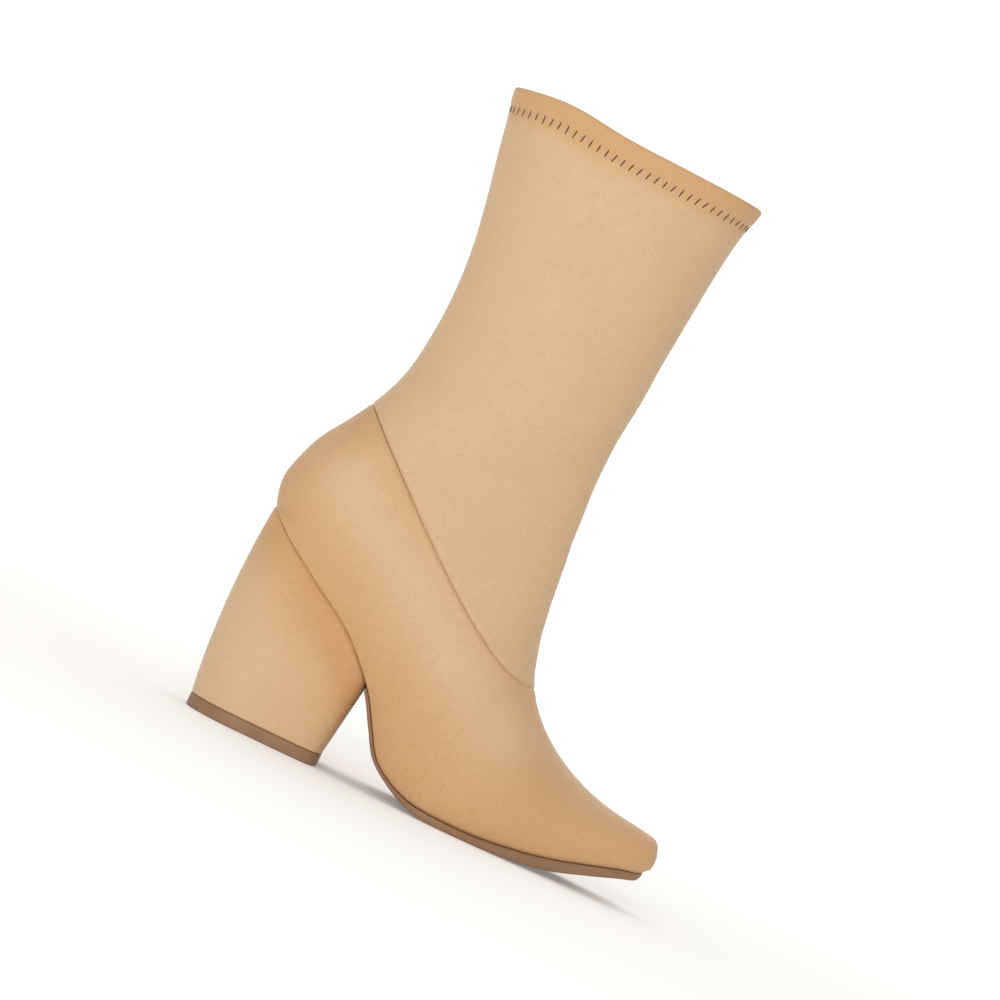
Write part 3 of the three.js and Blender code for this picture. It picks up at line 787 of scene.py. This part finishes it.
stitch_path, path_above, path_below = (round_collar(HEM + away) for away in (0, -2, 2))
travelled = np.concatenate([[0], np.cumsum(np.linalg.norm(np.diff(stitch_path, axis=0), axis=1))])
count = int(travelled[-1] / STITCH_PITCH)
random.seed(4)
bpy.ops.object.select_all(action="DESELECT")
bpy.ops.mesh.primitive_uv_sphere_add(segments=8, ring_count=7, radius=THREAD / 2)
thread = bpy.context.object
bpy.ops.object.shade_smooth()
one_stitch = thread.data
for point in one_stitch.vertices:
    point.co.z += math.copysign((STITCH_LENGTH - THREAD) / 2, point.co.z)
    point.co.y -= STITCH_BEND * (2 * point.co.z / STITCH_LENGTH) ** 2


def at(path, place):
    """The point of a path round the collar at a distance along the stitches' line."""
    return Vector([float(np.interp(place, travelled, path[:, axis])) for axis in range(3)])


stitches = []
for k in range(count):
    middle = (k + 0.5) * travelled[-1] / count
    here = at(stitch_path, middle)
    along = (at(stitch_path, middle + 0.5) - at(stitch_path, middle - 0.5)).normalized()
    up = (at(path_above, middle) - at(path_below, middle)).normalized()
    out = along.cross(up).normalized()
    if out.dot(here - Vector((40, 0, here.z))) < 0:
        out.negate()
    lean = math.radians(random.uniform(*STITCH_LEAN)) * (1 if along.x > 0 else -1)
    stitch_up = (math.cos(lean) * up + math.sin(lean) * along).normalized()
    stitch_along = out.cross(stitch_up).normalized()
    place = Matrix((stitch_along, out, stitch_up)).transposed().to_4x4()
    place.translation = here - out * STITCH_DEPTH
    copy = bpy.data.objects.new("stitch", one_stitch.copy())
    stretch = Matrix.Diagonal((1, 1, random.uniform(*STITCH_STRETCH), 1))
    copy.data.transform(Matrix.Scale(MM, 4) @ place @ stretch)
    bpy.context.collection.objects.link(copy)
    stitches.append(copy)
bpy.data.objects.remove(thread)
bpy.ops.object.select_all(action="DESELECT")
for copy in stitches:
    copy.select_set(True)
bpy.context.view_layer.objects.active = stitches[0]
bpy.ops.object.join()
hem_stitches = bpy.context.object
hem_stitches.name = "hem_stitches"
hem_stitches.data.name = "hem_stitches"

# Real: three-ply spun polyester, dyed dark brown and drawn in tight. It is dull with a faint
# slanting twist, one turn in about 0.5 mm.
spun_thread, tree, surface = new_material("spun polyester thread")
coordinates = add_node(tree, "ShaderNodeTexCoord").outputs["Object"]
twist = add_node(
    tree, "ShaderNodeTexWave", {"bands_direction": "DIAGONAL"}, Vector=coordinates, Scale=600
)
bump = add_node(tree, "ShaderNodeBump", Strength=0.5, Distance=0.0001, Height=twist.outputs["Fac"])
yarn = add_node(
    tree,
    "ShaderNodeBsdfPrincipled",
    Base_Color=linear("#553a25"),
    Roughness=0.7,
    Normal=bump.outputs[0],
    Sheen_Weight=0.2,
)
tree.links.new(yarn.outputs[0], surface)
hem_stitches.data.materials.append(spun_thread)
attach(hem_stitches, "root")


# Insole
# A fibre board over the turned-in margin with a soft sock glued on, seen down the shaft. The sock
# is cut to the last's bottom, and its rim rides up a little where it meets the lining.
SOCK_UNDER = FOOT_WALL + 0.3
SOCK_THICKNESS = 2.6
SOCK_RIM, SOCK_RIM_WIDTH = 0.8, 2.5  # how high and how far in its rim rides up
SOCK_BACK, SOCK_FRONT = [-34, -33.8, -33.4, -32.8, -32, -31], [171, 171.8, 172.3]  # round ends


def below_edge(distance):
    """The lower edge of the upper moved straight out from it, as x and height with x rising."""
    way = np.gradient(edge_line, axis=0)
    normal = np.stack([way[:, 1], -way[:, 0]], -1)
    normal /= np.linalg.norm(normal, axis=1, keepdims=True)
    line = edge_line - normal * np.asarray(distance).reshape(-1, 1)
    line = line[::-1]
    back = line[0] + (line[0] - line[1]) * 30
    return np.vstack([back, line])


sock_line = below_edge(-(SOCK_UNDER + SOCK_THICKNESS))
sock_x = np.concatenate([SOCK_BACK, np.linspace(-29.5, 170, 120), SOCK_FRONT])
sock_z = np.interp(sock_x, sock_line[:, 0], sock_line[:, 1])
sock_u, sock_v = seen_at(sock_x, sock_z + SOCK_RIM)
outer_rim, inner_rim = (on_last(sock_u, v, SOCK_UNDER) for v in (sock_v, 1 - sock_v))
across = (1 - np.cos(np.linspace(0, math.pi, 33))) / 2
sock_y = mix(outer_rim[:, 1:2], inner_rim[:, 1:2], across)
rim = np.minimum(sock_y - sock_y[:, :1], sock_y[:, -1:] - sock_y)
sock_level = sock_z[:, None] + SOCK_RIM * bell(rim, SOCK_RIM_WIDTH)
sock_top = np.stack([np.broadcast_to(sock_x[:, None], sock_y.shape), sock_y, sock_level], -1)
sock = sheet_mesh("insole_sock", sock_top)
close_up(sock)
board = sock.modifiers.new("board", "SOLIDIFY")
board.thickness = (SOCK_THICKNESS - 0.1) * MM
board.offset = -1
bpy.ops.object.modifier_apply(modifier="board")

# Real: microfibre with a brushed face, glued on board. It is dull, and the nap shows as soft
# patches and specks of about 1 mm where it lies one way or the other.
suede_sock, tree, surface = new_material("brushed microfibre sock")
coordinates = add_node(tree, "ShaderNodeTexCoord").outputs["Object"]
nap = add_node(tree, "ShaderNodeTexNoise", Vector=coordinates, Scale=900, Detail=4).outputs["Fac"]
patch = add_node(tree, "ShaderNodeTexNoise", Vector=coordinates, Scale=60, Detail=2).outputs["Fac"]
colour = add_node(
    tree,
    "ShaderNodeMix",
    {"data_type": "RGBA"},
    i0=patch,
    i6=linear("#c9a27a"),
    i7=linear("#b98f66"),
)
bump = add_node(tree, "ShaderNodeBump", Strength=0.35, Distance=0.0003, Height=nap)
microfibre = add_node(
    tree,
    "ShaderNodeBsdfPrincipled",
    Base_Color=colour.outputs[2],
    Roughness=0.95,
    Normal=bump.outputs[0],
    Sheen_Weight=0.4,
)
tree.links.new(microfibre.outputs[0], surface)
sock.data.materials.append(suede_sock)
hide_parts("insole")
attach(sock, "root")


# Outsole
# A thin moulded sole, glued on from the toe to the front of the heel. It is flat where it treads,
# thins out through the waist, and has fine ribs under the ball.
BREAST_LEAN = 5.5
BREAST = TIP_LENGTH / 2 + BREAST_LEAN
TOE_OVERHANG = 2.6
GLUE = 0.3
GLUED_MIDDLE = -0.15  # the middle stands into the upper, so no light comes through the glue line
RIB_PITCH, RIB_WIDTH, RIB_DEPTH = 4.5, 1.5, 0.45
RIBS_FROM, RIBS_TO = 66, 172
TOE_ROUND, TOE_ROUND_FROM = 1.7, 183.6  # the toe's end is rounded off underneath

sole_top = below_edge(GLUE)
sole_core = below_edge(GLUED_MIDDLE)
sole_bottom = below_edge(section(edge_u, "sole"))
toe_share = np.maximum(0, 1 - edge_u / (COLLAR / 4))
plan_x = edge_line[:, 0] - TOE_OVERHANG * toe_share
stations = np.concatenate([np.arange(BREAST - 0.2, 183, 0.75), [183.6, 184.4, 185, 185.5, 185.85]])
station_u = np.interp(stations, plan_x[::-1], edge_u[::-1])
sole_rows = []
for x, u in zip(stations, station_u):
    top = float(np.interp(x, sole_top[:, 0], sole_top[:, 1]))
    core = float(np.interp(x, sole_core[:, 0], sole_core[:, 1]))
    low = max(0.0, float(np.interp(x, sole_bottom[:, 0], sole_bottom[:, 1])))
    low += TOE_ROUND * max(0, (x - TOE_ROUND_FROM) / (stations[-1] - TOE_ROUND_FROM)) ** 2
    middle = float(section(u, "swing"))
    share = float(section(u, "feather")) * float(section(u, "edge"))
    tall = top - low
    rib = RIB_DEPTH if x % RIB_PITCH < RIB_WIDTH and RIBS_FROM < x < RIBS_TO else 0.0
    row = []
    for side, name in ((-1, "outer"), (1, "inner")):
        half = float(section(u, name)) * share
        field = max(half - 6, half * 0.5)
        profile = [
            (0, core),
            (half * 0.6, core),
            (half - 2, core),
            (half - 1.2, top),
            (half - 0.3, top - 0.03 * tall),
            (half, top - 0.12 * tall),
            (half + 0.12, mix(low, top, 0.5)),
            (half, low + 0.3 * tall),
            (half - 0.25, low + 0.12 * tall),
            (half - 0.7, low + 0.03 * tall),
            (half - 1.4, low),
            (field + 0.5, low),
            (field, low + rib),
            (0, low + rib),
        ]
        if side > 0:
            profile = profile[::-1]
        row += [(x, middle + side * y, z) for y, z in profile]
    sole_rows.append(row)
sole_rows = np.array(sole_rows, float)
ends = [np.repeat(row.mean(0)[None], len(row), 0) for row in (sole_rows[0], sole_rows[-1])]
sole_points = np.concatenate([ends[:1], sole_rows, ends[1:]])
outsole = sheet_mesh("sole_unit", sole_points, wraps=True)
close_up(outsole, 35)

# Real: brown thermoplastic rubber from a finely etched mould. It shows a satin, slightly cloudy
# brown with a skin of 0.7 mm specks.
moulded_rubber, tree, surface = new_material("moulded thermoplastic rubber")
coordinates = add_node(tree, "ShaderNodeTexCoord").outputs["Object"]
skin = add_node(tree, "ShaderNodeTexNoise", Vector=coordinates, Scale=1500, Detail=3).outputs["Fac"]
cloudy = add_node(tree, "ShaderNodeTexNoise", Vector=coordinates, Scale=70, Detail=3).outputs["Fac"]
colour = add_node(
    tree,
    "ShaderNodeMix",
    {"data_type": "RGBA"},
    i0=cloudy,
    i6=linear("#967254"),
    i7=linear("#87654a"),
)
bump = add_node(tree, "ShaderNodeBump", Strength=0.25, Distance=0.0002, Height=skin)
gloss = add_node(
    tree, "ShaderNodeMapRange", Value=cloudy, From_Min=0.3, From_Max=0.7, To_Min=0.48, To_Max=0.6
)
rubber = add_node(
    tree,
    "ShaderNodeBsdfPrincipled",
    Base_Color=colour.outputs[2],
    Roughness=gloss.outputs[0],
    Normal=bump.outputs[0],
    IOR=1.5,
    Specular_IOR_Level=0.4,
)
tree.links.new(rubber.outputs[0], surface)
outsole.data.materials.append(moulded_rubber)
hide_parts("outsole")
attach(outsole, "root")


# Heel
# A moulded block covered in the upper's leather, which is wrapped round from the back and meets
# in a seam down the front. It is screwed on under the seat through the insole.
HEEL_BULGE = 2.8
HEEL_SIDE_BULGE = 0.8
HEEL_FRONT_ROUND, HEEL_BACK_ROUND = 6, 2.2  # powers of the outline: the more, the squarer
HEEL_SEAM, HEEL_SEAM_WIDTH = 0.6, 0.9  # depth and half width of the leather's seam down the front
HEEL_COLUMNS = 120
SEAT_SHADE, SEAT_SHADE_HEIGHT = 1.2, 22  # painted shade under the seat's overhang, and how far down it reaches
# Painted shade towards the heel's front, under the arch.
BREAST_SHADE = 0.3
FIRST_GUESS = 80.0  # height of the heel's top before the loop below finds it

breast_height = float(np.interp(BREAST, edge_line[::-1, 0], edge_line[::-1, 1]))
seat_u = np.linspace(HEEL_CORNER - 4, HEEL_CORNER, 60)
seat_half = float(np.max(section(seat_u, "outer") * np.maximum(section(seat_u, "feather"), 0)))


def heel_ring(height, inset):
    """Outline of the heel at one height for each column: round behind, flat in front."""
    share = (height - TIP_HEIGHT) / (SEAT_HEIGHT - TIP_HEIGHT)
    swell = np.maximum(0, 4 * share * (1 - share))
    half = mix(TIP_WIDTH / 2, seat_half - GLUE, share) + HEEL_SIDE_BULGE * swell - inset
    back = mix(-TIP_LENGTH / 2, edge_line[-1, 0] + GLUE, share) - HEEL_BULGE * swell + inset
    lean = (height - TIP_HEIGHT) / (breast_height - TIP_HEIGHT)
    front = TIP_LENGTH / 2 + BREAST_LEAN * lean - inset
    middle = back + half
    turn = 2 * math.pi * (np.arange(HEEL_COLUMNS) + 0.5) / HEEL_COLUMNS
    forward, sideways = np.cos(turn), np.sin(turn)
    power = 2 / np.where(forward > 0, HEEL_FRONT_ROUND, HEEL_BACK_ROUND)
    reach = np.where(forward > 0, front - middle, middle - back)
    x = middle + np.sign(forward) * reach * np.abs(forward) ** power
    y = np.sign(sideways) * half * np.abs(sideways) ** power
    return np.stack([x, y, np.broadcast_to(height, x.shape)], -1)


seat_line = below_edge(GLUE)
seat_core = below_edge(GLUED_MIDDLE)
top_height = np.full(HEEL_COLUMNS, FIRST_GUESS)
for _ in range(12):
    x = heel_ring(top_height, 0)[:, 0]
    top_height = np.interp(x, seat_line[:, 0], seat_line[:, 1])
heel_rows = []
for share, inset in [(0, 0.7), (0.002, 0.3), (0.006, 0.08), (0.014, 0)]:
    heel_rows.append(heel_ring(mix(TIP_HEIGHT + 0.05, top_height, share), inset))
for share in np.linspace(0.03, 0.965, 44):
    heel_rows.append(heel_ring(mix(TIP_HEIGHT, top_height, share), 0))
for share, inset in [(0.983, 0.1), (0.993, 0.3), (1, 0.75)]:
    row = heel_ring(mix(TIP_HEIGHT, top_height, share), inset)
    plain = heel_ring(mix(TIP_HEIGHT, top_height, share), 0.1)
    stays_sharp = np.clip((plain[:, 0] + 20) / 40, 0, 1)  # towards the front
    row[:, 0] = mix(row[:, 0], plain[:, 0], stays_sharp)
    heel_rows.append(row)
heel_points = np.array(heel_rows)
seam_depth = HEEL_SEAM * bell(heel_points[..., 1], HEEL_SEAM_WIDTH)
heel_points[..., 0] -= seam_depth * (heel_points[..., 0] > 20)
cap_rows = []
for share in (0.012, 0.03, 0.06, 0.3, 0.7, 1):
    row = mix(heel_points[-1], np.array([2.0, 0, 0]), share)
    row[:, 2] = np.interp(row[:, 0], seat_core[:, 0], seat_core[:, 1])
    cap_rows.append(row)
foot_rows = [mix(heel_points[0], np.array([0, 0, TIP_HEIGHT + 0.05]), share) for share in (1, 0.5)]
heel_points = np.concatenate([foot_rows, heel_points, cap_rows])
heel = sheet_mesh("heel_block", heel_points, wraps=True)
heel_all = np.concatenate([heel_points, heel_points[:, :1]], 1)
# Painted shade: darker under the seat and towards the front of the heel.
under_seat = np.interp(heel_all[..., 0], seat_line[:, 0], seat_line[:, 1]) - heel_all[..., 2]
toward_front = np.clip((heel_all[..., 0] + 30) / 60, 0, 1)
shade = SEAT_SHADE * bell(under_seat, SEAT_SHADE_HEIGHT) * mix(0.75, 1, toward_front)
shade += BREAST_SHADE * toward_front**2
shade_shares(heel, "painted_shade", np.clip(shade, 0, 1))
close_up(heel, 50)
heel.data.materials.append(stretch_leather)
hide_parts("heel")
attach(heel, "root")


# Heel tip
# The top piece: a 6 mm plate of harder rubber, pinned under the heel. Its edges are rounded and a
# fine step runs round its tread.
TIP_JOINT = 0.05  # how far its top stays below the heel's
TIP_ROUND = 0.8
TREAD_RIM = 3.2  # width of the rim that treads on the floor
TREAD_STEP, STEP_WIDTH = 0.5, 0.4

bpy.ops.object.select_all(action="DESELECT")
bpy.ops.mesh.primitive_circle_add(vertices=HEEL_COLUMNS, fill_type="NGON")
heel_tip = bpy.context.object
heel_tip.name = "top_piece"
heel_tip.data.name = "top_piece"
outline = heel_ring(np.full(HEEL_COLUMNS, float(TIP_HEIGHT)), 0) * (MM, MM, 0)
heel_tip.data.vertices.foreach_set("co", outline.ravel())
bpy.ops.object.mode_set(mode="EDIT")
bpy.ops.mesh.select_all(action="SELECT")
up = (0, 0, (TIP_HEIGHT - TIP_JOINT) * MM)
bpy.ops.mesh.extrude_region_move(TRANSFORM_OT_translate={"value": up})
bpy.ops.mesh.select_all(action="SELECT")
bpy.ops.mesh.normals_make_consistent(inside=False)
bpy.ops.object.mode_set(mode="OBJECT")
rounding = heel_tip.modifiers.new("rounding", "BEVEL")
rounding.width = TIP_ROUND * MM
rounding.segments = 4
rounding.limit_method = "ANGLE"
rounding.angle_limit = math.radians(60)
bpy.ops.object.modifier_apply(modifier="rounding")
bpy.ops.object.mode_set(mode="EDIT")
bpy.ops.mesh.select_mode(type="FACE")
bpy.ops.mesh.select_all(action="DESELECT")
bpy.ops.object.mode_set(mode="OBJECT")
min(heel_tip.data.polygons, key=lambda face: face.center.z).select = True
bpy.ops.object.mode_set(mode="EDIT")
bpy.ops.mesh.inset(thickness=TREAD_RIM * MM)
bpy.ops.mesh.inset(thickness=STEP_WIDTH * MM, depth=-TREAD_STEP * MM)
bpy.ops.mesh.select_mode(type="VERT")
bpy.ops.object.mode_set(mode="OBJECT")
close_up(heel_tip, 40)
heel_tip.data.materials.append(moulded_rubber)
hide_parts("heel_tip")
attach(heel_tip, "root")


# Sizes and end
# The box round everything that renders, the backdrop left out.
low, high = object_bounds()
